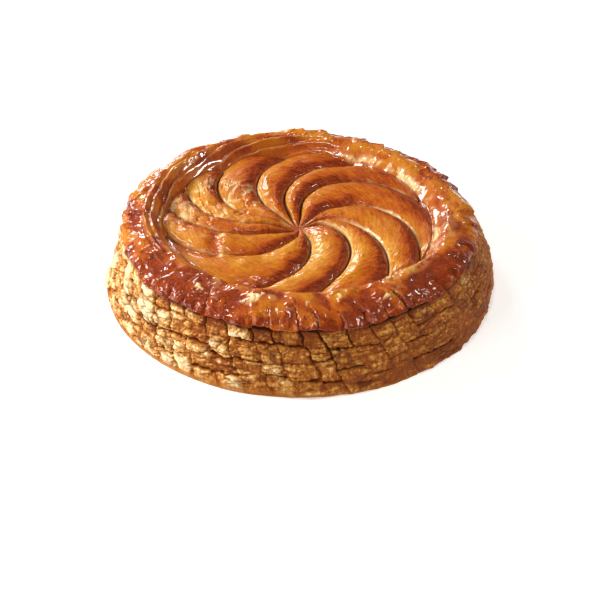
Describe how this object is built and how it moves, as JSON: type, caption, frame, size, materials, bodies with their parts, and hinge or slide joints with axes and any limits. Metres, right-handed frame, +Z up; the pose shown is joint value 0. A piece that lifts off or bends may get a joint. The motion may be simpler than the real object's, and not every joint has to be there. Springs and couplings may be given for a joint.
{
  "type": "pithivier",
  "caption": "Round puff-pastry pie with a raised rim, a glazed lid scored in a curling swirl and a tall flaky side with slanting knife notches.",
  "frame": {"origin": "middle of the flat underside, on the plane that the pie rests on", "axes": "+Z up through the middle of the swirl, -Y towards the side that faces the viewer"},
  "size_m": [0.2323, 0.2324, 0.0473],
  "materials": {
    "baked_crust": "egg-glazed golden-brown lid, dry and paler layered pastry on the side"
  },
  "bodies": {
    "root": {"pithivier": "baked_crust"}
  },
  "joints": []
}
